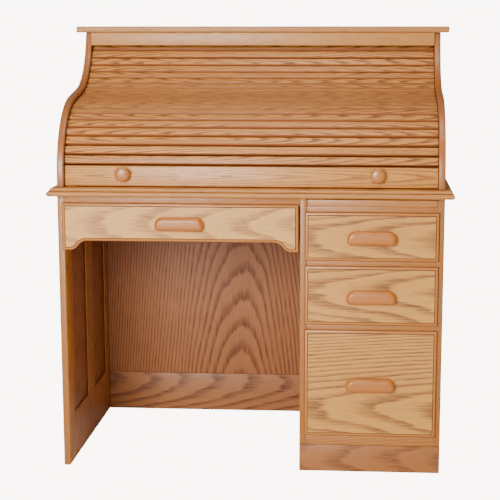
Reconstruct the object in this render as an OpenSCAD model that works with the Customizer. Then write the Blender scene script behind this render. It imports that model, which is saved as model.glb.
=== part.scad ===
// Roll top desk in oak: a single pedestal desk with a drawer over the kneehole, three drawers and a
// pull-out board in the pedestal, and a slatted S-curve roll that closes over a small organizer.
// Millimetres. X runs across the desk, -Y is the front, Z is up from the floor.

/* [Overall] */
// Width of the writing top
top_w = 1067; // [880:1:1290]
// Height of the writing surface above the floor
desk_h = 762; // [740:1:920]
// Height of the roll case, from the writing surface to the top of the upper board
roll_case_h = 419; // [400:1:510]
// Depth of the case behind its front plane
case_d = 630; // [620:1:760]

/* [Boards] */
// Thickness of the ends, the partition and the gables
end_t = 18; // [14:0.5:22]
// Thickness of the writing top
top_t = 22; // [18:0.5:28]
// Thickness of the upper board
crown_t = 18; // [15:0.5:24]
// Overhang of both boards past each end
side_lap = 24; // [15:1:35]
// Overhang of the writing top in front
front_lap = 26; // [15:1:35]
// Overhang of the upper board in front of the gables
crown_lap = 15; // [5:1:30]
// Thickness of the plywood panels
ply_t = 6; // [4:0.5:9]
// Thickness of the front rails
rail_t = 18; // [14:0.5:22]

/* [Kneehole and pedestal] */
// Outside width of the pedestal
pedestal_w = 376; // [320:1:420]
// Height of the plinth board
plinth_h = 74; // [50:1:100]
// How far the plinth stands in front of the case
plinth_proud = 2; // [0:0.5:6]
// How far the kneehole back is set in from the rear
back_inset = 38; // [20:1:90]
// Height of the low rail under the kneehole back
low_rail_h = 118; // [80:1:160]
// Height of the rail above the kneehole drawer
knee_rail_h = 22; // [18:1:30]
// Width of the stiles of the framed ends
stile_w = 85; // [60:1:100]
// Height of the lower rails of the framed ends
end_rail_h = 130; // [90:1:150]
// Depth that each panel enters its frame
panel_groove = 8; // [5:1:12]

/* [Drawers] */
// Height of the opening of the upper drawer
upper_h = 119; // [100:1:140]
// Height of the opening of the middle drawer
middle_h = 148; // [130:1:170]
// Height of the rails between the drawers
divider_h = 23; // [18:0.5:30]
// Height of the rail between the upper drawer and the pull-out board
slide_rail_h = 19.5; // [15:0.5:25]
// Height of the rail below the file drawer
base_rail_h = 32; // [24:1:40]
// How far a drawer front laps over its opening
front_lip = 5; // [3:0.5:8]
// How far a drawer front stands in front of the case
front_proud = 10; // [7:0.5:12]
// Thickness of a drawer front inside its opening
front_inner = 9; // [6:0.5:12]
// Length of the pedestal drawer boxes
box_len = 500; // [420:1:520]
// Thickness of the drawer sides
side_t = 12; // [9:0.5:15]
// Gap between a drawer and what is beside it
box_gap = 3; // [1.5:0.5:6]
// Height of the middle of the kneehole drawer front
pencil_mid_h = 102; // [85:1:110]
// How far its end lobes hang below the middle
lobe_drop = 25; // [15:1:32]
// Width of the flat under each lobe
lobe_w = 19; // [12:1:30]
// Length of the ogee between lobe and middle
ogee_len = 47; // [35:1:70]
// Length of the kneehole drawer box
pencil_len = 400; // [320:1:440]
// Height of the runners under the drawers
runner_h = 14; // [10:1:18]
// Width of the runners under the drawers
runner_w = 20; // [15:1:30]
// Thickness of the pull-out board
slide_t = 17.5; // [12:0.5:18]
// Length of the pull-out board
slide_len = 440; // [350:1:500]

/* [Pulls and knobs] */
// Length of a drawer pull
pull_w = 130; // [100:1:150]
// Height of a drawer pull
pull_h = 37; // [30:1:44]
// How far a drawer pull stands out
pull_reach = 24; // [18:1:30]
// Diameter of the roll knobs
knob_d = 40; // [30:1:44]
// Distance of each roll knob from the centre
knob_x = 335; // [250:1:400]

/* [Roll] */
// Setback of the gable's front edge at the writing top
gable_set = 1.5; // [0:0.5:10]
// Radius of the lower, outward curve
low_r = 208.8; // [190:0.1:230]
// Turn of the lower curve in degrees
low_turn = 80.7; // [76:0.1:84]
// Length of the flat between the curves
flat_len = 99.3; // [60:0.1:130]
// Radius of the upper, hollow curve
up_r = 187.5; // [170:0.5:205]
// Recess of the slats behind the gable edges
slat_recess = 15; // [13:0.5:20]
// Thickness of a slat
slat_t = 10; // [8:0.5:12]
// Gap between neighbouring slats at the canvas
slat_gap = 1.2; // [0.8:0.1:2]
// How much each side of a slat leans in towards its face
slat_bevel = 2.2; // [1.5:0.1:3]
// Depth of the small bevel on the slat's front edges
slat_round = 2.5; // [1:0.5:4]
// Height of the lift rail
lift_h = 58; // [50:1:70]
// Thickness of the lift rail
lift_t = 18; // [15:0.5:22]
// Gap between the slat ends and the gables
roll_side_gap = 1; // [0.5:0.5:3]
// Depth of the groove in each gable
groove_deep = 7; // [4:0.5:9]
// Clearance of the groove on each side of a slat
groove_clear = 0.5; // [0.3:0.1:1.5]
// Heading at which the track leaves the gable's curve
leave_deg = 63; // [60:1:72]
// Radius of the first bend behind the fascia
bend1_r = 50; // [35:1:60]
// Level stretch under the upper board
over_run = 35; // [20:1:60]
// Radius of the second bend, down behind the organizer
bend2_r = 60; // [40:1:60]
// Length of the closed roll past the gable's hollow curve
roll_tail = 38; // [10:1:60]

/* [Upper case] */
// Height of the fascia under the upper board
fascia_h = 36; // [30:1:45]
// Thickness of the fascia
fascia_t = 10; // [8:0.5:12]
// Distance of the fascia's face behind the front plane
fascia_y = 417; // [415:0.5:420]
// Front of the organizer behind the front plane
org_y = 300; // [280:1:330]
// Depth of the organizer
org_d = 200; // [160:1:205]
// Height of the organizer
org_h = 172; // [150:1:178]
// Thickness of the organizer's boards
org_t = 9; // [6:0.5:12]
// Height of the organizer's small drawers
org_drawer_h = 52; // [40:1:60]

/* [Hidden] */
$fn = 64;
SLATS = 22;
slat_names = [for (i = [1:SLATS]) str("slat_", i < 10 ? "0" : "", i)];

// Case planes
half_case = top_w / 2 - side_lap;
half_in = half_case - end_t;
ped_l = half_case - pedestal_w;
ped_in_l = ped_l + end_t;
top_under = desk_h - top_t;
crown_under = desk_h + roll_case_h - crown_t;
rear_y = case_d - ply_t;
y_shift = (front_proud + pull_reach - case_d) / 2;
fit = 1;

// Drawer openings in the pedestal, from the pull-out board down; the file drawer takes what is left
slide_slot = slide_t + 4;
slide_z = top_under - slide_slot;
slide_rail_z = slide_z - slide_rail_h;
upper_z = slide_rail_z - upper_h;
middle_z = upper_z - divider_h - middle_h;
file_z = plinth_h + base_rail_h;
file_h = middle_z - divider_h - file_z;
ped_c = (ped_in_l + half_in) / 2;
ped_open = half_in - ped_in_l;

// Kneehole drawer
knee_c = (ped_l - half_in) / 2;
knee_open = ped_l + half_in;
pencil_top = top_under - knee_rail_h + front_lip;
pencil_z = pencil_top - pencil_mid_h;

// The roll's track, as canvas line: stretches of [length, turn], first from the writing top upwards
canvas_off = slat_recess + slat_t;
track_r1 = low_r - canvas_off;
track_r2 = up_r + canvas_off;
mid_deg = 90 - low_turn;
s_rise = low_r * sin(low_turn) + flat_len * sin(mid_deg) + up_r * cos(mid_deg);
// Height of the upper curve's centre: it keeps its place under the upper board
hollow_z = crown_under + 31.7;
roll_rise = hollow_z - s_rise - desk_h;
hollow_y = gable_set + low_r * (1 - cos(low_turn)) + flat_len * cos(mid_deg) - up_r * sin(mid_deg);
function bow(r, deg) = r * deg * PI / 180;
track = [
    [roll_rise, 0], [bow(track_r1, low_turn), -low_turn], [flat_len, 0],
    [bow(track_r2, leave_deg - mid_deg), leave_deg - mid_deg],
    [bow(bend1_r, leave_deg), -leave_deg], [over_run, 0], [bow(bend2_r, 90), -90], [desk_h, 0]];
track_start = [gable_set + canvas_off, desk_h];
// Point on a stretch, s along it, from point p with heading h
function step_on(p, h, len, turn, s) =
    turn == 0 ? p + s * [cos(h), sin(h)]
    : let (r = len / (turn * PI / 180), t = turn * s / len)
      p + r * [sin(h + t) - sin(h), cos(h) - cos(h + t)];
function track_at(s, p = track_start, h = 90, i = 0) =
    let (len = track[i][0], turn = track[i][1])
    s <= len || i == len(track) - 1 ? step_on(p, h, len, turn, s)
    : track_at(s - len, step_on(p, h, len, turn, len), h + turn, i + 1);
// The curtain reaches behind the fascia, and its slats share what the lift rail leaves
curtain_len = roll_rise + bow(track_r1, low_turn) + flat_len + bow(track_r2, leave_deg - mid_deg)
    + roll_tail;
pitch = (curtain_len - lift_h) / SLATS;
roll_w = 2 * (half_in - roll_side_gap);

// Colours
oak = "#d9a866";
oak_edge = "#bf8350";
oak_dark = "#a8713f";
ply = "#c98f5c";
pull_red = "#b8693a";

// Everything is drawn with Y measured from the front plane and then centred on the floor
module desk() translate([0, y_shift, 0]) children();
// A box between two corners
module block(a, b) translate(a) cube(b - a);
// A shape drawn in the Y-Z plane, w wide along X
module across(w, x = 0) translate([x, 0, 0]) rotate([90, 0, 90]) linear_extrude(w, center = true) children();
// A shape drawn in the X-Z plane, t deep from y towards the rear
module upright(y, t) translate([0, y + t, 0]) rotate([90, 0, 0]) linear_extrude(t) children();
module span(a, b) translate(a) square(b - a);

// ---- Lower case -------------------------------------------------------------------------------

end_top_rail = 70;
mullion_w = stile_w;
window_w = (case_d - 3 * stile_w) / 2;
// Windows of a framed end, each [front, rear]
windows = [[stile_w, stile_w + window_w], [2 * stile_w + window_w, case_d - stile_w]];
window_z = [end_rail_h, top_under - end_top_rail];

module end_panels(x0) {
    x = x0 + (end_t - ply_t) / 2;
    for (w = windows)
        block([x, w[0] - panel_groove, window_z[0] - panel_groove],
              [x + ply_t, w[1] + panel_groove, window_z[1] + panel_groove]);
}

module end_frame(x0) {
    difference() {
        block([x0, 0, 0], [x0 + end_t, case_d, top_under]);
        for (w = windows)
            block([x0 - 1, w[0], window_z[0]], [x0 + end_t + 1, w[1], window_z[1]]);
        end_panels(x0);
    }
}

// Where the plinth is let into the front of the pedestal's sides
module plinth_notch() block([ped_l - 1, -1, -1], [half_case + 1, rail_t - plinth_proud, plinth_h]);

module left_end_frame() color(oak) desk() end_frame(-half_case);
module left_end_panels() color(oak_dark) desk() end_panels(-half_case);
module right_end_frame() color(oak) desk() difference() {
    end_frame(half_in);
    plinth_notch();
}
module right_end_panels() color(ply) desk() end_panels(half_in);

module pedestal_partition() color(oak) desk() difference() {
    block([ped_l, 0, 0], [ped_in_l, case_d - ply_t, top_under]);
    plinth_notch();
}

module pedestal_bottom() color(ply) desk()
    block([ped_in_l, rail_t, file_z - runner_h - end_t], [half_in, rear_y, file_z - runner_h]);

module pedestal_back() color(ply) desk()
    block([ped_l, rear_y, 0], [half_in, case_d, top_under]);

module rail_bar(x0, x1, z0, z1) block([x0, 0, z0], [x1, rail_t, z1]);

module drawer_rails() color(oak_edge) desk() {
    rail_bar(ped_in_l, half_in, plinth_h, file_z);
    rail_bar(ped_in_l, half_in, file_z + file_h, middle_z);
    rail_bar(ped_in_l, half_in, middle_z + middle_h, upper_z);
    rail_bar(ped_in_l, half_in, slide_rail_z, slide_z);
}

// A pair of hardwood strips under a drawer's sides, its tops level with the opening's bottom
module runner_pair(x0, x1, z, y1) {
    block([x0, rail_t, z - runner_h], [x0 + runner_w, y1, z]);
    block([x1 - runner_w, rail_t, z - runner_h], [x1, y1, z]);
}

pencil_box_z = pencil_z + 8;
module drawer_runners() color(oak_dark) desk() {
    for (z = [file_z, middle_z, upper_z, slide_z])
        runner_pair(ped_in_l, half_in, z, rear_y);
    runner_pair(-half_in, ped_l, pencil_box_z, case_d - back_inset);
}

module plinth() color(oak) desk()
    block([ped_l, -plinth_proud, 0], [half_case, rail_t - plinth_proud, plinth_h]);

module kneehole_rail() color(oak_edge) desk() rail_bar(-half_in, ped_l, top_under - knee_rail_h, top_under);

module kneehole_back() color(ply) desk()
    block([-half_in, case_d - back_inset + 3, low_rail_h], [ped_l, case_d - back_inset + 3 + ply_t, top_under]);

module kneehole_low_rail() color(oak) desk()
    block([-half_in, case_d - back_inset, 0], [ped_l, case_d - back_inset + rail_t, low_rail_h]);

// ---- Boards -----------------------------------------------------------------------------------

// A board with a moulded edge on its front and ends: a square step over a rounded nose
module moulded_board(y0, y1, z, t, step) {
    nose = (t - step) / 2;
    block([-top_w / 2 + step, y0 + step, z], [top_w / 2 - step, y1, z + t]);
    block([-top_w / 2 + nose, y0 + nose, z], [top_w / 2 - nose, y1, z + 2 * nose]);
    intersection() {
        union() {
            translate([0, y0 + nose, z + nose]) rotate([0, 90, 0]) cylinder(r = nose, h = top_w, center = true);
            for (s = [-1, 1]) translate([s * (top_w / 2 - nose), y0, z + nose]) rotate([-90, 0, 0])
                cylinder(r = nose, h = y1 - y0);
        }
        block([-top_w / 2, y0, z], [top_w / 2, y1, z + 2 * nose]);
    }
}

top_step = 7;
crown_step = 0;
module desktop() color(oak) desk() moulded_board(-front_lap, case_d, top_under, top_t, top_step);

gable_top_y = hollow_y + sqrt(pow(up_r, 2) - pow(hollow_z - crown_under, 2));
module top_board() color(oak) desk()
    moulded_board(gable_top_y - crown_lap, case_d, crown_under, crown_t, crown_step);

module fascia() color(oak) desk()
    block([-half_in, fascia_y, crown_under - fascia_h], [half_in, fascia_y + fascia_t, crown_under]);

module upper_back() color(ply) desk()
    block([-half_in, rear_y, desk_h], [half_in, case_d, crown_under]);

// ---- Gables -----------------------------------------------------------------------------------

low_y = gable_set + low_r;
low_z = desk_h + roll_rise;
t1 = [low_y - low_r * cos(low_turn), low_z + low_r * sin(low_turn)];
t2 = t1 + flat_len * [cos(mid_deg), sin(mid_deg)];
// All that lies behind the S-curve moved inwards by off; the lower curve in short chords
arc_steps = 48;
module behind_curve(off) {
    n = [sin(mid_deg), -cos(mid_deg)];
    b = t2 + off * n;
    difference() {
        polygon(concat([[case_d, desk_h], [gable_set + off, desk_h]],
            [for (i = [0:arc_steps])
                [low_y, low_z] + (low_r - off) * [-cos(low_turn * i / arc_steps), sin(low_turn * i / arc_steps)]],
            [b, [b[0], crown_under], [case_d, crown_under]]));
        translate([hollow_y, hollow_z]) circle(r = up_r + off, $fn = 128);
    }
}

bend1_at = [hollow_y + track_r2 * sin(leave_deg), hollow_z - track_r2 * cos(leave_deg)];
bend1_c = bend1_at + bend1_r * [sin(leave_deg), -cos(leave_deg)];
over_z = bend1_c[1] + bend1_r;
bend2_c = [bend1_c[0] + over_run, over_z - bend2_r];
drop_y = bend2_c[0] + bend2_r;
// All that the whole track goes around, grown outwards from the canvas line by d
module inside_track(d) {
    intersection() {
        behind_curve(canvas_off - d);
        polygon([[0, desk_h], [0, hollow_z], [hollow_y, hollow_z], bend1_c, [bend1_c[0], desk_h]]);
    }
    translate(bend1_c) circle(r = bend1_r + d, $fn = 96);
    span([bend1_c[0], desk_h], [bend2_c[0], over_z + d]);
    translate(bend2_c) circle(r = bend2_r + d, $fn = 96);
    span([bend1_c[0], desk_h], [drop_y + d, bend2_c[1]]);
}

module gable(side) {
    difference() {
        across(end_t, side * (half_case - end_t / 2)) behind_curve(0);
        across(2 * groove_deep, side * half_in) difference() {
            inside_track(slat_t + groove_clear);
            inside_track(-groove_clear);
        }
    }
}
module left_gable() color(oak_edge) desk() gable(-1);
module right_gable() color(oak_edge) desk() gable(1);

// ---- Roll -------------------------------------------------------------------------------------

// Places a piece on the track between s and s + len: local Y runs up the roll, local Z points out
module on_track(s, len) {
    a = track_at(s);
    b = track_at(s + len);
    translate([0, a[0], a[1]]) rotate([atan2(b[1] - a[1], b[0] - a[0]), 0, 0]) children();
}

// Cross-section of a slat: bevelled towards its face, so the roll can bend both ways
module slat_profile(len) {
    g = slat_gap / 2;
    side = slat_bevel * (1 - slat_round / slat_t);
    tip = slat_bevel + slat_round / 2;
    polygon([[g, 0], [len - g, 0], [len - g - side, slat_t - slat_round], [len - g - tip, slat_t],
             [g + tip, slat_t], [g + side, slat_t - slat_round]]);
}

module slat(i) color(oak) desk() on_track(lift_h + (i - 1) * pitch, pitch)
    across(roll_w) slat_profile(pitch);

module lift_rail() color(oak) desk() on_track(0, lift_h) across(roll_w) {
    slat_profile(lift_h);
    span([slat_gap / 2, slat_t - lift_t], [lift_h - slat_gap, 0.01]);
}

module knob_shape() rotate_extrude($fn = 48) {
    r = knob_d / 2;
    span([0, 0], [r * 0.5, 3]);
    span([0, 0], [r * 0.36, r]);
    intersection() {
        translate([0, r * 0.75]) union() {
            translate([r * 0.55, 0]) circle(r = r * 0.45, $fn = 48);
            span([0, -r * 0.45], [r * 0.55, r * 0.45]);
        }
        span([0, 0], [r, 2 * r]);
    }
}

module lift_knobs() color(oak) desk() on_track(0, lift_h)
    for (s = [-1, 1]) translate([s * knob_x, lift_h * 0.6, slat_t]) knob_shape();

// ---- Organizer --------------------------------------------------------------------------------

org_half = half_in - 12;
org_rear = org_y + org_d;
org_bay = 215;
module organizer_case() color(oak) desk() difference() {
    block([-org_half, org_y, desk_h], [org_half, org_rear, desk_h + org_h]);
    block([-org_half + org_t, org_y - 1, desk_h + org_t],
          [org_half - org_t, org_rear - ply_t, desk_h + org_h - org_t]);
}

module upright_board(x, z0, z1) block([x - org_t / 2, org_y + 4, z0], [x + org_t / 2, org_rear - ply_t, z1]);
module level_board(x0, x1, z) block([x0, org_y + 4, z], [x1, org_rear - ply_t, z + org_t]);

org_in_z0 = desk_h + org_t;
org_in_z1 = desk_h + org_h - org_t;
org_shelf_z = org_in_z0 + org_drawer_h;
org_bay_x = org_half - org_t - org_bay;
module organizer_dividers() color(oak_edge) desk() {
    for (s = [-1, 1]) {
        upright_board(s * (org_bay_x - org_t / 2), org_in_z0, org_in_z1);
        level_board(min(s * org_bay_x, s * (org_half - org_t)), max(s * org_bay_x, s * (org_half - org_t)), org_shelf_z);
        for (i = [1, 2])
            upright_board(s * (org_bay_x + org_bay * i / 3), org_shelf_z + org_t, org_in_z1);
    }
    level_board(-org_bay_x + org_t, org_bay_x - org_t, org_shelf_z + 30);
}

module small_drawer(s) {
    x = s * (org_bay_x + org_bay / 2);
    w = org_bay - 2 * fit;
    h = org_drawer_h - 2 * fit;
    y0 = org_y + 4;
    translate([x, 0, org_in_z0 + fit]) {
        difference() {
            block([-w / 2, y0, 0], [w / 2, org_rear - ply_t - 4, h]);
            block([-w / 2 + 7, y0 + 10, 5], [w / 2 - 7, org_rear - ply_t - 11, h + 1]);
        }
        translate([0, y0, h / 2]) rotate([90, 0, 0]) {
            cylinder(r = 4, h = 8);
            translate([0, 0, 8]) cylinder(r1 = 6, r2 = 8, h = 5);
            translate([0, 0, 13]) cylinder(r1 = 8, r2 = 5, h = 3);
        }
    }
}
module organizer_drawer_left() color(oak) desk() small_drawer(-1);
module organizer_drawer_right() color(oak) desk() small_drawer(1);

// ---- Drawers ----------------------------------------------------------------------------------

// Open-topped box behind a drawer front
module drawer_box(c, open_w, z, h, len) {
    w = open_w / 2 - box_gap;
    y0 = front_inner;
    difference() {
        block([c - w, y0, z], [c + w, y0 + len, z + h]);
        block([c - w + side_t, y0 + side_t, z + ply_t], [c + w - side_t, y0 + len - side_t, z + h + 1]);
    }
}

// Lipped front: a plate over the opening, with a raised field, and a plug inside the opening
field_in = 9;
field_h = 3;
module lipped_front(z, h) {
    x0 = ped_in_l - front_lip;
    x1 = half_in + front_lip;
    block([x0, -front_proud + field_h, z - front_lip], [x1, 0, z + h + front_lip]);
    block([x0 + field_in, -front_proud, z - front_lip + field_in],
          [x1 - field_in, 0, z + h + front_lip - field_in]);
    block([ped_in_l + fit, -1, z + fit], [half_in - fit, front_inner, z + h - fit]);
}

// Wooden pull with a finger hollow underneath, centred on a front
module pull(x, z) translate([x, -front_proud, z]) difference() {
    low = pull_reach * 0.4;
    top = pull_reach * 0.6;
    intersection() {
        across(pull_w) {
            span([-pull_reach, -pull_h / 2 + low], [0, pull_h / 2 - top]);
            span([-top, -pull_h / 2], [0, 0]);
            span([-low, 0], [0, pull_h / 2]);
            translate([-top, -pull_h / 2 + low]) circle(r = low, $fn = 48);
            translate([-low, pull_h / 2 - top]) circle(r = top, $fn = 48);
        }
        translate([0, 1, 0]) rotate([90, 0, 0]) linear_extrude(pull_reach + 2) pull_outline();
    }
    across(pull_w * 0.78) translate([-pull_reach * 0.3, -pull_h / 2]) circle(r = pull_h * 0.35, $fn = 48);
    translate([-pull_w, 0, -pull_h]) cube([2 * pull_w, pull_reach, 2 * pull_h]);
}
module pull_outline() {
    r = pull_h * 0.48;
    b = pull_h * 0.2;
    for (s = [-1, 1]) {
        translate([s * (pull_w / 2 - r), pull_h / 2 - r]) circle(r = r, $fn = 64);
        translate([s * (pull_w / 2 - b), -pull_h / 2 + b]) circle(r = b, $fn = 48);
    }
    span([-pull_w / 2 + r, -pull_h / 2], [pull_w / 2 - r, pull_h / 2]);
    span([-pull_w / 2, -pull_h / 2 + b], [pull_w / 2, pull_h / 2 - r]);
    span([-pull_w / 2 + b, -pull_h / 2], [pull_w / 2 - b, 0]);
}

pull_drop = 2;
module upper_drawer_front() color(oak) desk() lipped_front(upper_z, upper_h);
module upper_drawer_box() color(ply) desk() drawer_box(ped_c, ped_open, upper_z, upper_h - 25, box_len);
module upper_drawer_pull() color(pull_red) desk() pull(ped_c, upper_z + upper_h / 2 - pull_drop);
module middle_drawer_front() color(oak) desk() lipped_front(middle_z, middle_h);
module middle_drawer_box() color(ply) desk() drawer_box(ped_c, ped_open, middle_z, middle_h - 30, box_len);
module middle_drawer_pull() color(pull_red) desk() pull(ped_c, middle_z + middle_h / 2 - pull_drop);
module file_drawer_front() color(oak) desk() lipped_front(file_z, file_h);
module file_drawer_box() color(ply) desk() drawer_box(ped_c, ped_open, file_z, file_h - 30, box_len);
module file_drawer_pull() color(pull_red) desk() pull(ped_c, file_z + file_h / 2 - pull_drop);

// Outline of the kneehole drawer's front, drawn in by inset on every side
pencil_x0 = -half_in - front_lip;
pencil_x1 = ped_l - box_gap;
module pencil_outline(inset) {
    lobe_z = pencil_z - lobe_drop;
    // Each ogee is two equal arcs; slope is its angle where they meet
    slope = 2 * atan(lobe_drop / ogee_len);
    r = ogee_len / 2 / sin(slope);
    difference() {
        span([pencil_x0 + inset, lobe_z + inset], [pencil_x1 - inset, pencil_top - inset]);
        for (s = [0, 1]) {
            x = s == 0 ? pencil_x0 : pencil_x1;
            d = s == 0 ? 1 : -1;
            intersection() {
                difference() {
                    translate([x + d * lobe_w, 0]) scale([d, 1]) span([0, lobe_z - 1], [ogee_len + 1, pencil_z + inset]);
                    translate([x + d * lobe_w, lobe_z + r]) circle(r = r - inset, $fn = 128);
                }
                union() {
                    translate([x + d * lobe_w, 0]) scale([d, 1]) span([0, lobe_z - 1], [ogee_len / 2, pencil_z]);
                    translate([x + d * (lobe_w + ogee_len), pencil_z - r]) circle(r = r + inset, $fn = 128);
                }
            }
        }
        span([pencil_x0 + lobe_w + ogee_len, lobe_z - 1], [pencil_x1 - lobe_w - ogee_len, pencil_z + inset]);
    }
}
module pencil_drawer_front() color(oak) desk() {
    upright(-front_proud + field_h, front_proud - field_h) pencil_outline(0);
    upright(-front_proud, front_proud) pencil_outline(field_in);
    block([-half_in + fit, -1, pencil_z + fit], [pencil_x1 - fit, front_inner, top_under - knee_rail_h - fit]);
}
pencil_box_h = top_under - knee_rail_h - 12 - pencil_box_z;
module pencil_drawer_box() color(ply) desk()
    drawer_box(knee_c, knee_open, pencil_box_z, pencil_box_h, pencil_len);
module pencil_drawer_pull() color(pull_red) desk()
    pull((pencil_x0 + pencil_x1) / 2, (pencil_z + pencil_top) / 2 - pull_drop);

module writing_board() color(oak_edge) desk()
    block([ped_in_l + fit, -3, slide_z + 0.2], [half_in - fit, slide_len, slide_z + 0.2 + slide_t]);

// ---- Drawing ----------------------------------------------------------------------------------

left_end_frame();
left_end_panels();
right_end_frame();
right_end_panels();
pedestal_partition();
pedestal_bottom();
pedestal_back();
drawer_rails();
drawer_runners();
plinth();
kneehole_rail();
kneehole_back();
kneehole_low_rail();
desktop();
left_gable();
right_gable();
top_board();
fascia();
upper_back();
organizer_case();
organizer_dividers();
organizer_drawer_left();
organizer_drawer_right();
pencil_drawer_front();
pencil_drawer_box();
pencil_drawer_pull();
upper_drawer_front();
upper_drawer_box();
upper_drawer_pull();
middle_drawer_front();
middle_drawer_box();
middle_drawer_pull();
file_drawer_front();
file_drawer_box();
file_drawer_pull();
writing_board();
lift_rail();
lift_knobs();
for (i = [1:SLATS]) slat(i);
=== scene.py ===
import bpy
from math import radians, sin, cos, atan
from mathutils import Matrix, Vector


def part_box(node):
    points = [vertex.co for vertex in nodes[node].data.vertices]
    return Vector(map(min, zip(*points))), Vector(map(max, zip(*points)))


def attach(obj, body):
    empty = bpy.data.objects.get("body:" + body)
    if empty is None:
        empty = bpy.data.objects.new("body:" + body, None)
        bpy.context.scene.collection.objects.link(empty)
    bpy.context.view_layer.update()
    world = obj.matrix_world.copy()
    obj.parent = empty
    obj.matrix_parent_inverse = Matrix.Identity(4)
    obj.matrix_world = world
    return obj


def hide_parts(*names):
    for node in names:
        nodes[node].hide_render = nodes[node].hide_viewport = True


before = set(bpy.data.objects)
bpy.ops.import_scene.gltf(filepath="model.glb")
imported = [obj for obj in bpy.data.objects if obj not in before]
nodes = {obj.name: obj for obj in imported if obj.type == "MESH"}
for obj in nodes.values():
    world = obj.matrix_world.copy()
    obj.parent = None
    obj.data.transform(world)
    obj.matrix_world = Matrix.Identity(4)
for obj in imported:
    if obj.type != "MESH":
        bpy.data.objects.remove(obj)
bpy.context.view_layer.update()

# --- Gables -------------------------------------------------------------------------------------
# The two S-shaped sides of the roll, sawn from solid oak with the grain upright. Their edges are
# rounded over, and a groove for the roll runs inside. The oak of the whole desk is set up here.


def maths_in(tree):
    """A maker of Math nodes in one node tree, from sockets and plain numbers."""
    def calc(op, a, b):
        m = tree.nodes.new("ShaderNodeMath")
        m.operation = op
        for socket, v in zip(m.inputs, (a, b)):
            if isinstance(v, (int, float)):
                socket.default_value = v
            else:
                tree.links.new(v, socket)
        return m.outputs[0]
    return calc


def group_with(name, numbers, outputs):
    """A shader group with a Vector and some numbers going in, and values coming out."""
    g = bpy.data.node_groups.new(name, "ShaderNodeTree")
    g.interface.new_socket(name="Vector", in_out="INPUT", socket_type="NodeSocketVector")
    for key, value in numbers.items():
        g.interface.new_socket(name=key, in_out="INPUT", socket_type="NodeSocketFloat").default_value = value
    for key in outputs:
        g.interface.new_socket(name=key, in_out="OUTPUT", socket_type="NodeSocketFloat")
    return g, g.nodes.new("NodeGroupInput"), g.nodes.new("NodeGroupOutput")


LOG = {"Ring Width": 0.005, "Pith Depth": 0.08, "Tilt": 0.07, "Wander": 0.018}


def figure_group():
    """Plain-sawn oak: rings around a pith below the face, with dashes of open pores along them."""
    g, gi, go = group_with("oak figure", {**LOG, "Seed": 0.0}, ("Rings", "Pores", "Drift"))
    n, l, calc = g.nodes, g.links, maths_in(g)
    moved = n.new("ShaderNodeVectorMath")
    l.new(gi.outputs["Vector"], moved.inputs[0])
    l.new(gi.outputs["Seed"], moved.inputs[1])

    def stretched(scale, detail, rough):
        m = n.new("ShaderNodeMapping")
        m.inputs["Scale"].default_value = scale
        t = n.new("ShaderNodeTexNoise")
        t.inputs["Scale"].default_value = 1.0
        t.inputs["Detail"].default_value = detail
        t.inputs["Roughness"].default_value = rough
        l.new(moved.outputs[0], m.inputs["Vector"])
        l.new(m.outputs["Vector"], t.inputs["Vector"])
        return t.outputs["Fac"]

    def ramp(value, stops):
        r = n.new("ShaderNodeValToRGB")
        e = r.color_ramp.elements
        while len(e) < len(stops):
            e.new(0.5)
        for k, (at, v) in enumerate(stops):
            e[k].position = at
            e[k].color = (v, v, v, 1)
        l.new(value, r.inputs[0])
        return r.outputs[0]

    sep = n.new("ShaderNodeSeparateXYZ")
    l.new(gi.outputs["Vector"], sep.inputs[0])
    wander = calc("MULTIPLY", calc("SUBTRACT", stretched((1.5, 6, 6), 2.0, 0.45), 0.5), gi.outputs["Wander"])
    fine = calc("MULTIPLY", calc("SUBTRACT", stretched((9, 60, 60), 2.0, 0.55), 0.5), 0.0026)
    leaning = calc("MULTIPLY", sep.outputs["X"], gi.outputs["Tilt"])
    depth = calc("ADD", calc("ADD", leaning, gi.outputs["Pith Depth"]),
                 calc("ADD", calc("ADD", sep.outputs["Z"], wander), fine))
    around = n.new("ShaderNodeCombineXYZ")
    l.new(depth, around.inputs["X"])
    l.new(sep.outputs["Y"], around.inputs["Y"])
    dist = n.new("ShaderNodeVectorMath")
    dist.operation = "LENGTH"
    l.new(around.outputs[0], dist.inputs[0])
    turn = calc("FRACT", calc("DIVIDE", dist.outputs["Value"], gi.outputs["Ring Width"]), 0)
    rings = ramp(turn, ((0.0, 0.05), (0.12, 1.0), (0.32, 0.7), (0.52, 0.12), (1.0, 0.0)))
    broken = ramp(stretched((9, 230, 230), 2.5, 0.65), ((0.34, 0.3), (0.6, 1.0)))
    l.new(calc("MULTIPLY", rings, broken), go.inputs["Rings"])
    dashes = ramp(stretched((28, 950, 950), 1.5, 0.5), ((0.5, 0.0), (0.62, 1.0)))
    l.new(calc("MULTIPLY", dashes, calc("ADD", calc("MULTIPLY", rings, 0.7), 0.3)), go.inputs["Pores"])
    l.new(stretched((1.3, 7, 7), 2.0, 0.5), go.inputs["Drift"])
    return g


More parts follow.
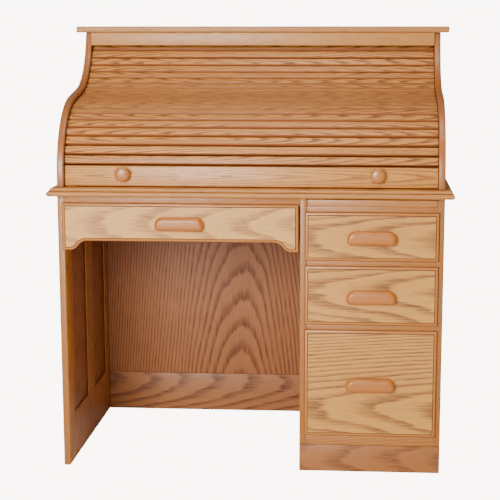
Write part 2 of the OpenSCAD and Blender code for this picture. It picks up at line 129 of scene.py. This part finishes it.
def boards_group(figure):
    """The same figure in boards glued edge to edge, each one cut from its own place in the log."""
    g, gi, go = group_with("glued oak boards", {**LOG, "Board Width": 0.1, "Slip": 0.7},
                           ("Rings", "Pores", "Drift", "Tone"))
    n, l, calc = g.nodes, g.links, maths_in(g)
    sep = n.new("ShaderNodeSeparateXYZ")
    l.new(gi.outputs["Vector"], sep.inputs[0])
    count = calc("FLOOR", calc("DIVIDE", sep.outputs["Y"], gi.outputs["Board Width"]), 0)
    white = n.new("ShaderNodeTexWhiteNoise")
    white.noise_dimensions = "1D"
    l.new(calc("ADD", count, 0.37), white.inputs["W"])
    tone = white.outputs["Value"]
    middle = calc("MULTIPLY", calc("ADD", count, 0.5), gi.outputs["Board Width"])
    off_middle = calc("SUBTRACT", tone, 0.5)
    slip = calc("MULTIPLY", off_middle, calc("MULTIPLY", gi.outputs["Board Width"], gi.outputs["Slip"]))
    place = n.new("ShaderNodeCombineXYZ")
    l.new(calc("ADD", sep.outputs["X"], calc("MULTIPLY", off_middle, 0.5)), place.inputs["X"])
    l.new(calc("SUBTRACT", calc("SUBTRACT", sep.outputs["Y"], middle), slip), place.inputs["Y"])
    l.new(sep.outputs["Z"], place.inputs["Z"])
    board = n.new("ShaderNodeGroup")
    board.node_tree = figure
    l.new(place.outputs[0], board.inputs["Vector"])
    for key in LOG:
        l.new(gi.outputs[key], board.inputs[key])
    l.new(calc("MULTIPLY", tone, 23.0), board.inputs["Seed"])
    for key in ("Rings", "Pores", "Drift"):
        l.new(board.outputs[key], go.inputs[key])
    l.new(tone, go.inputs["Tone"])
    return g


oak_figure = figure_group()
glued_boards = boards_group(oak_figure)


def oak(name, pale, ring, order="xzy", at=(0, 0, 0), boards=None, ring_w=0.005, pith=0.08, tilt=0.07,
        wander=0.018, strength=0.8, rough=0.38, coat=0.18, uv=False, drift=0.5, slip=0.7):
    """A satin-varnished oak. order names the axes along the grain, across the face and into it."""
    m = bpy.data.materials.new(name)
    m.use_nodes = True
    n, l = m.node_tree.nodes, m.node_tree.links
    bsdf = n["Principled BSDF"]
    co = n.new("ShaderNodeTexCoord")
    shift = n.new("ShaderNodeMapping")
    shift.inputs["Location"].default_value = (-at[0], -at[1], -at[2])
    l.new(co.outputs["UV" if uv else "Object"], shift.inputs["Vector"])
    sep, com = n.new("ShaderNodeSeparateXYZ"), n.new("ShaderNodeCombineXYZ")
    l.new(shift.outputs["Vector"], sep.inputs[0])
    for axis, target in zip(order.upper(), "XYZ"):
        l.new(sep.outputs[axis], com.inputs[target])
    f = n.new("ShaderNodeGroup")
    f.node_tree = glued_boards if boards else oak_figure
    if boards:
        f.inputs["Board Width"].default_value = boards
        f.inputs["Slip"].default_value = slip
    for key, value in (("Ring Width", ring_w), ("Pith Depth", pith), ("Tilt", tilt), ("Wander", wander)):
        f.inputs[key].default_value = value
    l.new(com.outputs[0], f.inputs["Vector"])

    def mixed(a, b, fac, amount):
        k = n.new("ShaderNodeMath")
        k.operation = "MULTIPLY"
        k.use_clamp = True
        k.inputs[1].default_value = amount
        l.new(fac, k.inputs[0])
        x = n.new("ShaderNodeMix")
        x.data_type = "RGBA"
        l.new(k.outputs[0], x.inputs[0])
        for sock, v in ((x.inputs[6], a), (x.inputs[7], b)):
            if isinstance(v, tuple):
                sock.default_value = (*v, 1)
            else:
                l.new(v, sock)
        return x.outputs[2]

    ground = mixed(pale, tuple(c * 0.55 + d * 0.45 for c, d in zip(pale, ring)), f.outputs["Drift"], drift)
    if boards:
        ground = mixed(ground, tuple(c * 0.62 for c in pale), f.outputs["Tone"], 0.3)
    colour = mixed(ground, ring, f.outputs["Rings"], strength)
    colour = mixed(colour, tuple(c * 0.8 for c in ring), f.outputs["Pores"], 0.75)
    l.new(colour, bsdf.inputs["Base Color"])
    bsdf.inputs["Coat Weight"].default_value = coat
    bsdf.inputs["Coat Roughness"].default_value = 0.3
    sheen = n.new("ShaderNodeMapRange")
    sheen.inputs["To Min"].default_value = rough
    sheen.inputs["To Max"].default_value = rough + 0.22
    l.new(f.outputs["Pores"], sheen.inputs["Value"])
    l.new(sheen.outputs[0], bsdf.inputs["Roughness"])
    bump = n.new("ShaderNodeBump")
    bump.invert = True
    bump.inputs["Strength"].default_value = 0.35
    bump.inputs["Distance"].default_value = 0.0004
    l.new(f.outputs["Pores"], bump.inputs["Height"])
    l.new(bump.outputs[0], bsdf.inputs["Normal"])
    return m


def bare():
    bpy.ops.object.select_all(action="DESELECT")


def active(o):
    bare()
    o.select_set(True)
    bpy.context.view_layer.objects.active = o
    return o


def eased(node, piece, width, mat, body="root", segments=3, angle=32):
    """The part with its sharp edges sanded round."""
    o = bpy.data.objects.new(piece, nodes[node].data.copy())
    bpy.context.collection.objects.link(o)
    active(o)
    bpy.ops.object.mode_set(mode="EDIT")
    bpy.ops.mesh.select_all(action="SELECT")
    bpy.ops.mesh.remove_doubles(threshold=0.00002)
    bpy.ops.mesh.dissolve_limited(angle_limit=radians(0.6))
    bpy.ops.object.mode_set(mode="OBJECT")
    b = o.modifiers.new("eased", "BEVEL")
    b.width, b.segments, b.limit_method, b.angle_limit = width, segments, "ANGLE", radians(angle)
    bpy.ops.object.modifier_apply(modifier="eased")
    bpy.ops.object.shade_smooth_by_angle(angle=radians(40))
    o.data.materials.clear()
    o.data.materials.append(mat)
    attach(o, body)
    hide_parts(node)
    return o


gable_oak = oak("gable oak", (0.499, 0.173, 0.0417), (0.243, 0.063, 0.0129), order="zyx", boards=0.16,
                ring_w=0.005, pith=0.015, tilt=0.04, strength=0.7, rough=0.3, coat=0.35)
for side in ("left", "right"):
    eased(side + "_gable", side + "_gable_board", 0.003, gable_oak, angle=40)

# --- Framed ends --------------------------------------------------------------------------------
# The two ends of the case: oak stiles and rails, mortised together, around two flat panels each. The
# inner edges of the frame are rounded over where they meet the panels.
frame_oak = oak("end frame oak", (0.483, 0.183, 0.0281), (0.286, 0.0794, 0.0147), order="zyx", boards=0.085,
                ring_w=0.004, pith=0.2, tilt=0.03, strength=0.65)
# The flat panels take a darker oak than the frame: painted shade.
panel_oak = oak("end panel oak", (0.343, 0.109, 0.0204), (0.203, 0.0527, 0.00966), order="zyx", boards=0.12,
                ring_w=0.005, pith=0.012, tilt=0.05, strength=0.75)
for side in ("left", "right"):
    eased(side + "_end_frame", side + "_framed_end", 0.0025, frame_oak)
    eased(side + "_end_panels", side + "_end_flat_panels", 0.0008, panel_oak)
eased("pedestal_partition", "pedestal_partition_board", 0.0018, frame_oak)

# --- Backs and boards out of sight --------------------------------------------------------------
# Oak-faced plywood behind the kneehole, the pedestal and the roll, with wide upright figure, and the
# pale runners and bottom that the drawers slide on.
back_oak = oak("kneehole back oak", (0.428, 0.162, 0.0553), (0.14, 0.036, 0.01), order="zxy", at=(-0.085, 0, 0.35),
               ring_w=0.0062, pith=0.008, tilt=0.075, wander=0.024, strength=0.95, rough=0.5, coat=0.06)
ply_oak = oak("back ply oak", (0.477, 0.203, 0.069), (0.286, 0.0936, 0.0276), order="zxy", boards=0.24,
              ring_w=0.0055, pith=0.01, tilt=0.06, wander=0.016, strength=0.75, rough=0.55, coat=0.0)
eased("kneehole_back", "kneehole_back_panel", 0.0006, back_oak)
for node in ("pedestal_back", "upper_back", "pedestal_bottom"):
    eased(node, node + "_ply", 0.0006, ply_oak)
runner_oak = oak("runner maple", (0.594, 0.312, 0.11), (0.424, 0.195, 0.0598), order="yxz", ring_w=0.003, pith=0.1,
                 strength=0.5, rough=0.6, coat=0.0)
eased("drawer_runners", "drawer_runner_strips", 0.001, runner_oak)

# --- Rails of the case --------------------------------------------------------------------------
# Oak rails run level between the drawers and over the kneehole, the plinth board stands under the
# pedestal, and a deep rail braces the legs low behind the knees.
rail_oak = oak("rail oak", (0.519, 0.207, 0.0358), (0.292, 0.0807, 0.0166), order="xzy", ring_w=0.004, pith=0.12,
               tilt=0.05, strength=0.65)
plinth_oak = oak("plinth oak", (0.42, 0.158, 0.0393), (0.17, 0.042, 0.008), order="xzy", at=(0.2, 0, 0.03),
                 ring_w=0.005, pith=0.012, tilt=0.04, wander=0.014, strength=0.8)
low_oak = oak("low rail oak", (0.449, 0.175, 0.0553), (0.13, 0.033, 0.008), order="xzy", at=(-0.2, 0, 0.09),
              ring_w=0.0052, pith=0.012, tilt=0.05, wander=0.018, strength=0.95, rough=0.45)
eased("drawer_rails", "drawer_divider_rails", 0.0012, rail_oak)
eased("kneehole_rail", "kneehole_top_rail", 0.0012, rail_oak)
eased("plinth", "plinth_board", 0.0018, plinth_oak)
eased("kneehole_low_rail", "kneehole_low_rail_board", 0.002, low_oak)

# --- Writing top and upper board ----------------------------------------------------------------
# Both are glued up from oak boards laid level. A cove and a fillet are run along the upper edge of
# the writing top over a full round nose; the upper board only has its two arrises rounded.
top_oak = oak("top oak", (0.647, 0.27, 0.0519), (0.324, 0.096, 0.0187), order="xyz", boards=0.11, ring_w=0.0052,
              pith=0.012, tilt=0.028, wander=0.014, strength=0.7, rough=0.42, coat=0.06)


def moulded_top(node, piece, profile):
    """A board lofted up through its edge profile: each step is (height, how far the edge is drawn in)."""
    lo, hi = [Vector(v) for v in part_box(node)]
    spare = 0.05
    w, d = hi.x - lo.x, hi.y - lo.y + spare
    cx, cy = (lo.x + hi.x) / 2, lo.y + d / 2
    bare()
    bpy.ops.mesh.primitive_plane_add(size=1, location=(cx, cy, lo.z + profile[0][0]))
    o = bpy.context.object
    o.name = piece
    o.scale = (w - 2 * profile[0][1], d - 2 * profile[0][1], 1)
    bpy.ops.object.transform_apply(location=True, rotation=True, scale=True)
    bpy.ops.object.mode_set(mode="EDIT")
    bpy.ops.mesh.select_all(action="SELECT")
    for (z0, i0), (z1, i1) in zip(profile, profile[1:]):
        bpy.ops.mesh.extrude_region_move(TRANSFORM_OT_translate={"value": (0, 0, z1 - z0)})
        bpy.ops.transform.resize(value=((w - 2 * i1) / (w - 2 * i0), (d - 2 * i1) / (d - 2 * i0), 1),
                                 center_override=(cx, cy, 0))
    bpy.ops.mesh.select_all(action="SELECT")
    bpy.ops.mesh.bisect(plane_co=(0, hi.y, 0), plane_no=(0, 1, 0), clear_outer=True, use_fill=True)
    bpy.ops.mesh.select_all(action="SELECT")
    bpy.ops.mesh.normals_make_consistent(inside=False)
    bpy.ops.object.mode_set(mode="OBJECT")
    bpy.ops.object.shade_smooth_by_angle(angle=radians(28))
    o.data.materials.append(top_oak)
    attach(o, "root")
    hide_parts(node)


nose_r = 0.0068
nose = [(nose_r - nose_r * cos(t), nose_r - nose_r * sin(t)) for t in [radians(a) for a in range(0, 181, 15)]]
cove = [(0.0145, 0.0042), (0.0153, 0.0062), (0.0168, 0.0076), (0.0188, 0.0084), (0.0204, 0.0086), (0.0214, 0.0092),
        (0.022, 0.0104)]
moulded_top("desktop", "writing_top", nose + cove)
soft = [(0.0, 0.004), (0.0008, 0.0018), (0.003, 0.0004), (0.006, 0.0), (0.012, 0.0), (0.0153, 0.0006),
        (0.0172, 0.0022), (0.018, 0.0048)]
moulded_top("top_board", "upper_board", soft)

# --- Roll ---------------------------------------------------------------------------------------
# Narrow oak slats, each cut from its own place in the log, with the front arrises rounded. The seams
# between them and the bevels that face down are painted dark as shade. The lift rail is a wider slat at the bottom.
slat_oak = oak("slat oak", (0.782, 0.329, 0.0795), (0.15, 0.034, 0.006), order="xyz", at=(0.1, 0, 0), uv=True,
               boards=0.0256, ring_w=0.0042, pith=0.008, tilt=0.055, wander=0.012, strength=1.0, rough=0.42,
               coat=0.08, slip=1.5)
rail_front_oak = oak("lift rail oak", (0.743, 0.335, 0.0663), (0.27, 0.078, 0.0145), order="xyz",
                     at=(0.1, 0.03, 0), uv=True, ring_w=0.0055, pith=0.012, tilt=0.035, wander=0.02,
                     strength=0.75, rough=0.36)


def along_roll(o, low, high, start):
    """UVs in metres: U along the slat, V up the roll from its lower edge."""
    up = (high - low).normalized()
    uv = o.data.uv_layers.new(name="roll")
    for loop in o.data.loops:
        p = o.data.vertices[loop.vertex_index].co
        uv.data[loop.index].uv = (p.x, start + (p - low).dot(up))


# A dark oak that paints shade into the seams between the slats and onto their down-facing bevels.
seam_shade_oak = oak("painted seam shade oak", (0.405, 0.126, 0.0252), (0.16, 0.045, 0.009), order="xzy", ring_w=0.003, pith=0.1,
               strength=0.5, rough=0.5, coat=0.0)
near = 1e-5
facing_down, facing_up = -0.45, 0.85


def paint_seam_shade(o):
    """Painted shade: dark oak on the sides that face the next slat and on the bevel that faces down."""
    runs = [o.data.vertices[e.vertices[1]].co - o.data.vertices[e.vertices[0]].co for e in o.data.edges]
    up = max((r for r in runs if abs(r.x) < near), key=lambda r: r.length).normalized()
    up = up if up.z + up.y > 0 else -up
    o.data.materials.append(seam_shade_oak)
    active(o)
    bpy.ops.object.mode_set(mode="EDIT")
    bpy.ops.mesh.select_mode(type="FACE")
    bpy.ops.mesh.select_all(action="DESELECT")
    bpy.ops.object.mode_set(mode="OBJECT")
    for f in o.data.polygons:
        f.select = f.normal.dot(up) < facing_down or f.normal.dot(up) > facing_up
    bpy.ops.object.mode_set(mode="EDIT")
    o.active_material_index = 1
    bpy.ops.object.material_slot_assign()
    bpy.ops.object.mode_set(mode="OBJECT")


roll_names = ["lift_rail"] + ["slat_%02d" % i for i in range(1, 23)]
reach = 0.0
for name in roll_names:
    mesh = nodes[name].data
    cross = {(round(v.co.y, 5), round(v.co.z, 5)) for v in mesh.vertices}
    pts = [Vector((0, y, z)) for y, z in cross]
    pair = max(((a, b) for a in pts for b in pts), key=lambda ab: (ab[1] - ab[0]).length)
    low, high = sorted(pair, key=lambda p: p.z + p.y)
    first = name == "lift_rail"
    o = eased(name, "roll_" + name, 0.0011 if first else 0.0009, rail_front_oak if first else slat_oak, body=name,
              segments=2, angle=20)
    along_roll(o, low, high, reach)
    paint_seam_shade(o)
    reach += (high - low).length
fascia_oak = oak("fascia oak", (0.67, 0.302, 0.0601), (0.3, 0.092, 0.017), order="xzy", ring_w=0.0035, pith=0.15,
                 tilt=0.03, wander=0.0072, strength=0.5)
eased("fascia", "fascia_board", 0.0012, fascia_oak)

# --- Roll knobs ---------------------------------------------------------------------------------
# Two turned oak knobs, screwed to the lift rail from behind: a flat-domed head on a waisted neck.
knob_oak = oak("turned oak", (0.551, 0.203, 0.0331), (0.307, 0.0819, 0.0147), order="xzy", ring_w=0.0035, pith=0.03,
               strength=0.6, rough=0.26, coat=0.5)
lo, hi = [Vector(v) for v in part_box("lift_knobs")]
knob_r = (hi.z - lo.z) / 2
knob_len = hi.y - lo.y
turned = [(0, 0.0), (0.62, 0.0), (0.62, 0.08), (0.5, 0.16), (0.42, 0.28), (0.44, 0.4), (0.6, 0.5), (0.86, 0.56),
          (0.98, 0.64), (1.0, 0.72), (0.95, 0.82), (0.8, 0.91), (0.5, 0.975), (0.2, 0.998), (0, 1.0)]
knobs = []
for x in (lo.x + knob_r, hi.x - knob_r):
    bare()
    bpy.ops.mesh.primitive_circle_add(vertices=48, radius=knob_r * turned[1][0], fill_type="NGON",
                                      location=(x, hi.y, (lo.z + hi.z) / 2), rotation=(radians(90), 0, 0))
    o = bpy.context.object
    bpy.ops.object.transform_apply(location=True, rotation=True, scale=True)
    centre = Vector((x, 0, (lo.z + hi.z) / 2))
    bpy.ops.object.mode_set(mode="EDIT")
    bpy.ops.mesh.select_all(action="SELECT")
    for (r0, t0), (r1, t1) in zip(turned[1:-1], turned[2:]):
        bpy.ops.mesh.extrude_region_move(TRANSFORM_OT_translate={"value": (0, -(t1 - t0) * knob_len, 0)})
        k = max(r1, 0.02) / r0
        bpy.ops.transform.resize(value=(k, 1, k), center_override=centre)
    bpy.ops.mesh.select_all(action="SELECT")
    bpy.ops.mesh.normals_make_consistent(inside=False)
    bpy.ops.object.mode_set(mode="OBJECT")
    knobs.append(o)
active(knobs[0])
knobs[1].select_set(True)
bpy.ops.object.join()
o = bpy.context.object
o.name = "roll_knobs"
bpy.ops.object.shade_smooth_by_angle(angle=radians(50))
o.data.materials.append(knob_oak)
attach(o, "lift_rail")
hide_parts("lift_knobs")

# --- Drawer fronts ------------------------------------------------------------------------------
# Single wide oak boards with a lip that laps over the case. An ogee runs round the edge of each. The
# kneehole drawer's lower edge is sawn to a shallow arch between two lobes.
ogee = [(0.0006, 0.0012), (0.0012, 0.0014), (0.0018, 0.0010), (0.0020, 0.0005), (0.0018, 0.0006), (0.0010, 0.0014),
        (0.0006, -0.0006), (0.0006, 0.0006)]
# The narrow steps of the ogee take a darker oak than the rest of the moulding.
dark_step_width = 0.0013
edge_oak = oak("moulded edge oak", (0.6, 0.235, 0.04), (0.32, 0.1, 0.014), order="xzy", ring_w=0.003, pith=0.1,
               strength=0.5, rough=0.38)
dark_step_oak = oak("dark step edge oak", (0.26, 0.075, 0.013), (0.15, 0.04, 0.008), order="xzy", ring_w=0.003,
                  pith=0.1, strength=0.6, rough=0.45)


def lipped(node, piece, outline, y_back, y_face, mat, body, plug):
    """An outline in X-Z, carried forward as a plate with an ogee around its face and a plug behind."""
    bare()
    bpy.ops.mesh.primitive_circle_add(vertices=len(outline), radius=0.1, fill_type="NGON", location=(0, 0, 0))
    o = bpy.context.object
    for v, (x, z) in zip(o.data.vertices, outline):
        v.co = (x, y_back, z)
    rise = sum(h for _, h in ogee)
    for m in (mat, edge_oak, dark_step_oak):
        o.data.materials.append(m)
    bpy.ops.object.mode_set(mode="EDIT")
    bpy.ops.mesh.select_all(action="SELECT")
    bpy.ops.mesh.normals_make_consistent(inside=False)
    bpy.ops.mesh.extrude_region_move(TRANSFORM_OT_translate={"value": (0, y_face + rise - y_back, 0)})
    bpy.ops.mesh.select_mode(type="FACE")
    bpy.ops.object.mode_set(mode="OBJECT")
    for p in o.data.polygons:
        p.select = abs(p.center.y - (y_face + rise)) < near and len(p.vertices) == len(outline)
    bpy.ops.object.mode_set(mode="EDIT")
    for width, height in ogee:
        o.active_material_index = 2 if width < dark_step_width else 1
        bpy.ops.object.material_slot_assign()
        bpy.ops.mesh.inset(thickness=width, depth=0.0, use_boundary=True, use_even_offset=True)
        bpy.ops.transform.translate(value=(0, -height, 0))
    o.active_material_index = 0
    bpy.ops.object.material_slot_assign()
    bpy.ops.mesh.select_all(action="SELECT")
    bpy.ops.mesh.normals_make_consistent(inside=False)
    bpy.ops.object.mode_set(mode="OBJECT")
    bare()
    bpy.ops.mesh.primitive_cube_add(size=1, location=[(a + b) / 2 for a, b in zip(*plug)])
    back = bpy.context.object
    back.scale = [b - a for a, b in zip(*plug)]
    bpy.ops.object.transform_apply(location=True, rotation=True, scale=True)
    soften = back.modifiers.new("soften", "BEVEL")
    soften.width, soften.segments = 0.0015, 2
    bpy.ops.object.modifier_apply(modifier="soften")
    active(o)
    back.select_set(True)
    bpy.ops.object.join()
    o.name = piece
    bpy.ops.object.shade_smooth_by_angle(angle=radians(24))
    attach(o, body)
    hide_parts(node)


case_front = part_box("kneehole_rail")[0][1]
lap, sunk = 0.006, 0.001
board_looks = {"upper": ((0.55, 0.62), 0.022, 0.03, 0.0044), "middle": ((0.28, 0.48), 0.006, 0.03, 0.0046),
               "file": ((0.22, 0.165), 0.008, 0.035, 0.0050)}
for kind, ((gx, gz), pith, tilt, ring_w) in board_looks.items():
    lo, hi = [Vector(v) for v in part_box(kind + "_drawer_front")]
    mat = oak(kind + " front oak", (0.75, 0.36, 0.064), (0.2, 0.053, 0.0085), order="xzy", at=(gx, 0, gz),
              ring_w=ring_w, pith=pith, tilt=tilt, wander=0.02, strength=0.92, rough=0.34)
    rect = [(lo.x, lo.z), (hi.x, lo.z), (hi.x, hi.z), (lo.x, hi.z)]
    lipped(kind + "_drawer_front", kind + "_drawer_face", rect, case_front, lo.y, mat, kind + "_drawer",
           ((lo.x + lap, case_front - sunk, lo.z + lap), (hi.x - lap, hi.y, hi.z - lap)))

lo, hi = [Vector(v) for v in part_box("pencil_drawer_front")]
lobe_w, ogee_len, lobe_drop = 0.019, 0.047, 0.025
outline = [(hi.x, hi.z), (lo.x, hi.z)]
slope = 2 * atan(lobe_drop / ogee_len)
bow = ogee_len / 2 / sin(slope)
sweep = [(lobe_w + bow * sin(slope * t / 8), bow * (1 - cos(slope * t / 8))) for t in range(9)]
sweep += [(lobe_w + ogee_len - bow * sin(slope * (8 - t) / 8), lobe_drop - bow * (1 - cos(slope * (8 - t) / 8)))
          for t in range(1, 9)]
outline += [(lo.x, lo.z)] + [(lo.x + x, lo.z + z) for x, z in sweep]
outline += [(hi.x - x, lo.z + z) for x, z in reversed(sweep)] + [(hi.x, lo.z)]
outline.reverse()
pencil_oak = oak("kneehole front oak", (0.818, 0.421, 0.0969), (0.36, 0.125, 0.027), order="xzy",
                 at=(-0.35, 0, 0.66), ring_w=0.0055, pith=0.012, tilt=0.045, wander=0.014, strength=0.8, rough=0.34)
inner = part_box("pencil_drawer_box")
lipped("pencil_drawer_front", "pencil_drawer_face", outline, case_front, lo.y, pencil_oak, "pencil_drawer",
       ((inner[0][0], case_front - sunk, lo.z + lobe_drop + sunk), (inner[1][0], hi.y, hi.z - lap)))

# --- Drawer boxes -------------------------------------------------------------------------------
# Plain pale sides and backs, rebated for a thin bottom, glued behind the fronts.
box_wood = oak("drawer box maple", (0.657, 0.359, 0.133), (0.498, 0.242, 0.0782), order="yzx", ring_w=0.004,
               pith=0.09, tilt=0.05, strength=0.45, rough=0.5, coat=0.05)
for kind in ("pencil", "upper", "middle", "file"):
    eased(kind + "_drawer_box", kind + "_drawer_tray", 0.0012, box_wood, body=kind + "_drawer")

# --- Pulls --------------------------------------------------------------------------------------
# Carved wooden pulls, screwed on from inside the drawer: a long bar with round shoulders, full at the
# top, hollowed underneath for the fingers, stained redder than the case.
pull_wood = oak("pull wood", (0.563, 0.185, 0.021), (0.33, 0.083, 0.010), order="xzy", ring_w=0.003, pith=0.06,
                tilt=0.05, wander=0.0072, strength=0.55, rough=0.3, coat=0.35)


def edges_of(o, pick):
    """Edit mode with only the edges whose two ends satisfy pick."""
    bpy.ops.object.mode_set(mode="EDIT")
    bpy.ops.mesh.select_mode(type="EDGE")
    bpy.ops.mesh.select_all(action="DESELECT")
    bpy.ops.object.mode_set(mode="OBJECT")
    verts = o.data.vertices
    for e in o.data.edges:
        e.select = pick(verts[e.vertices[0]].co, verts[e.vertices[1]].co)
    bpy.ops.object.mode_set(mode="EDIT")


shoulder, foot, rim = 0.0215, 0.012, 0.0115
finger_wall, finger_depth = 0.0035, 0.013
for kind in ("pencil", "upper", "middle", "file"):
    lo, hi = [Vector(v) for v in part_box(kind + "_drawer_pull")]
    bare()
    bpy.ops.mesh.primitive_cube_add(size=1, location=(lo + hi) / 2)
    o = bpy.context.object
    o.name = kind + "_drawer_carved_pull"
    o.scale = hi - lo
    bpy.ops.object.transform_apply(location=True, rotation=True, scale=True)
    edges_of(o, lambda p, q: min(p.z, q.z) > hi.z - near and abs(p.x - q.x) < near)
    bpy.ops.mesh.bevel(offset=shoulder, segments=10, affect="EDGES")
    edges_of(o, lambda p, q: max(p.z, q.z) < lo.z + near and abs(p.x - q.x) < near)
    bpy.ops.mesh.bevel(offset=foot, segments=6, affect="EDGES")
    edges_of(o, lambda p, q: max(p.y, q.y) < lo.y + near)
    bpy.ops.mesh.bevel(offset=rim, segments=9, affect="EDGES")
    bpy.ops.mesh.select_mode(type="FACE")
    bpy.ops.mesh.select_all(action="DESELECT")
    bpy.ops.object.mode_set(mode="OBJECT")
    for f in o.data.polygons:
        f.select = f.normal.z < -0.99
    bpy.ops.object.mode_set(mode="EDIT")
    bpy.ops.mesh.inset(thickness=finger_wall)
    bpy.ops.mesh.extrude_region_move(TRANSFORM_OT_translate={"value": (0, 0, finger_depth)})
    bpy.ops.transform.resize(value=(0.96, 0.7, 1), center_override=((lo.x + hi.x) / 2, hi.y - 0.004, lo.z))
    bpy.ops.mesh.select_all(action="SELECT")
    bpy.ops.mesh.normals_make_consistent(inside=False)
    bpy.ops.object.mode_set(mode="OBJECT")
    bpy.ops.object.shade_smooth_by_angle(angle=radians(40))
    o.data.materials.append(pull_wood)
    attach(o, kind + "_drawer")
    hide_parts(kind + "_drawer_pull")

# --- Pull-out board -----------------------------------------------------------------------------
# A flat board that slides out over the top drawer to write on, in the same oak as the rails.
slide_oak = oak("pull-out board oak", (0.629, 0.26, 0.0612), (0.339, 0.101, 0.0207), order="xyz", boards=0.1,
                ring_w=0.0052, pith=0.012, tilt=0.028, wander=0.014, strength=0.65)
eased("writing_board", "pull_out_board", 0.0015, slide_oak, body="writing_board")

# --- Organizer ----------------------------------------------------------------------------------
# A low case of thin oak boards stands inside the roll, with pigeonholes over two small drawers.
organizer_oak = oak("organizer oak", (0.562, 0.234, 0.069), (0.339, 0.105, 0.0253), order="xyz", ring_w=0.0048,
                    pith=0.012, tilt=0.03, wander=0.012, strength=0.65)
eased("organizer_case", "organizer_shell", 0.0012, organizer_oak)
eased("organizer_dividers", "organizer_divider_boards", 0.0008, organizer_oak)
for side in ("left", "right"):
    eased("organizer_drawer_" + side, "organizer_small_drawer_" + side, 0.001, organizer_oak,
          body="organizer_drawer_" + side)

# --- Floor, light and camera --------------------------------------------------------------------
# A plain pale floor that meets the backdrop, one large soft light from the front left, weaker ones
# from above and from the right, and the camera in front of the desk a little to its right.
bare()
bpy.ops.mesh.primitive_plane_add(size=60, location=(0, 10, -0.0005))
floor = bpy.context.object
floor.name = "studio_floor"
paper = bpy.data.materials.new("floor paper")
paper.use_nodes = True
world = bpy.data.worlds.new("studio")
bpy.context.scene.world = world
world.use_nodes = True


def pale_to_camera(tree, shader, surface, kind):
    """The camera sees a bright even tone, and everything else is lit by the shader itself."""
    bright = tree.nodes.new(kind)
    bright.inputs["Color"].default_value = (1.0, 0.93, 0.87, 1)
    bright.inputs["Strength"].default_value = 9.0
    seen = tree.nodes.new("ShaderNodeLightPath")
    either = tree.nodes.new("ShaderNodeMixShader")
    for out, socket in ((seen.outputs["Is Camera Ray"], either.inputs[0]), (shader.outputs[0], either.inputs[1]),
                        (bright.outputs[0], either.inputs[2]), (either.outputs[0], surface)):
        tree.links.new(out, socket)


sheet = paper.node_tree.nodes["Principled BSDF"]
sheet.inputs["Base Color"].default_value = (0.9, 0.88, 0.86, 1)
sheet.inputs["Roughness"].default_value = 0.9
pale_to_camera(paper.node_tree, sheet, paper.node_tree.nodes["Material Output"].inputs["Surface"],
               "ShaderNodeEmission")
floor.data.materials.append(paper)
room = world.node_tree.nodes["Background"]
room.inputs["Color"].default_value = (1.0, 0.85, 0.68, 1)
room.inputs["Strength"].default_value = 0.26
pale_to_camera(world.node_tree, room, world.node_tree.nodes["World Output"].inputs["Surface"],
               "ShaderNodeBackground")


def softbox(name, at, aim, size, watts, tint=(1, 1, 1)):
    data = bpy.data.lights.new(name, "AREA")
    data.size, data.energy, data.color = size, watts, tint
    o = bpy.data.objects.new(name, data)
    bpy.context.collection.objects.link(o)
    o.location = at
    o.rotation_euler = (Vector(aim) - Vector(at)).to_track_quat("-Z", "Y").to_euler()


softbox("key", (-0.95, -3.9, 1.45), (0, 0, 0.7), 1.5, 184, (1, 0.98, 0.94))
softbox("top", (0.2, -1.0, 3.4), (0, 0.1, 0.9), 1.6, 34, (1, 0.97, 0.92))
softbox("fill", (2.6, -3.2, 1.3), (0.2, 0, 0.6), 1.8, 5)

cam_data = bpy.data.cameras.new("camera")
cam_data.sensor_width = 36
cam_data.lens = 100.32
cam_data.shift_x, cam_data.shift_y = -0.0372, 0.0804
cam_data.clip_end = 100
cam = bpy.data.objects.new("camera", cam_data)
bpy.context.collection.objects.link(cam)
cam.location = (0.313, -3.9088, 1.1663)
cam.rotation_euler = (radians(90 - 10.52), 0, radians(4.15))
bpy.context.scene.camera = cam
